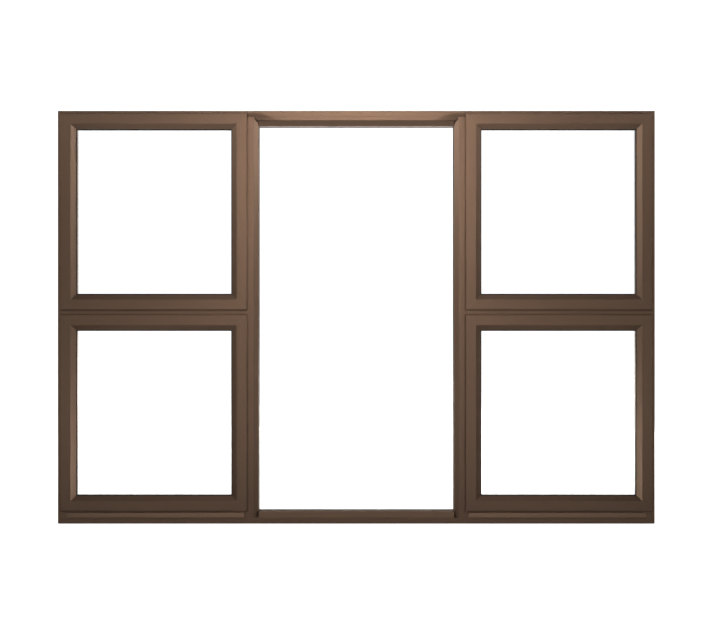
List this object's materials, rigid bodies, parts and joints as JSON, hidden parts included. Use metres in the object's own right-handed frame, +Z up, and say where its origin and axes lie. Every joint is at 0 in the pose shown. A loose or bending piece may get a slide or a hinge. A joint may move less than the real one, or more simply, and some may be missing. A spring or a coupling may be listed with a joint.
{
  "type": "aluminium casement window",
  "caption": "Bronze aluminium window: a tall fixed centre pane between side bays, each with stacked top-hung sashes with mitred corners and splayed glazing lips.",
  "frame": {"origin": "under the middle of the sill, half way through the depth of the frame", "axes": "+X to the right seen from outside, +Y from outside to inside, +Z up"},
  "size_m": [1.8, 0.0553, 1.245],
  "materials": {
    "frame_bronze": "satin",
    "sash_bronze": "satin",
    "handle_bronze": "satin",
    "clear_glass": "polished",
    "black_rubber": "matte"
  },
  "bodies": {
    "root": {"head": "frame_bronze", "sill": "frame_bronze", "left_jamb": "frame_bronze", "right_jamb": "frame_bronze", "left_mullion": "frame_bronze", "right_mullion": "frame_bronze", "left_transom": "frame_bronze", "right_transom": "frame_bronze", "left_threshold": "frame_bronze", "right_threshold": "frame_bronze", "centre_head_bead": "frame_bronze", "centre_sill_bead": "frame_bronze", "centre_left_bead": "frame_bronze", "centre_right_bead": "frame_bronze", "left_upper_top_rail": "sash_bronze", "left_upper_bottom_rail": "sash_bronze", "left_upper_left_stile": "sash_bronze", "left_upper_right_stile": "sash_bronze", "left_upper_beads": "sash_bronze", "left_upper_glass": "clear_glass", "left_upper_handle": "handle_bronze", "left_lower_top_rail": "sash_bronze", "left_lower_bottom_rail": "sash_bronze", "left_lower_left_stile": "sash_bronze", "left_lower_right_stile": "sash_bronze", "left_lower_beads": "sash_bronze", "left_lower_glass": "clear_glass", "left_lower_handle": "handle_bronze", "right_upper_top_rail": "sash_bronze", "right_upper_bottom_rail": "sash_bronze", "right_upper_left_stile": "sash_bronze", "right_upper_right_stile": "sash_bronze", "right_upper_beads": "sash_bronze", "right_upper_glass": "clear_glass", "right_upper_handle": "handle_bronze", "right_lower_top_rail": "sash_bronze", "right_lower_bottom_rail": "sash_bronze", "right_lower_left_stile": "sash_bronze", "right_lower_right_stile": "sash_bronze", "right_lower_beads": "sash_bronze", "right_lower_glass": "clear_glass", "right_lower_handle": "handle_bronze", "centre_glass": "clear_glass", "glazing_gaskets": "black_rubber", "weather_seals": "black_rubber"}
  },
  "joints": []
}
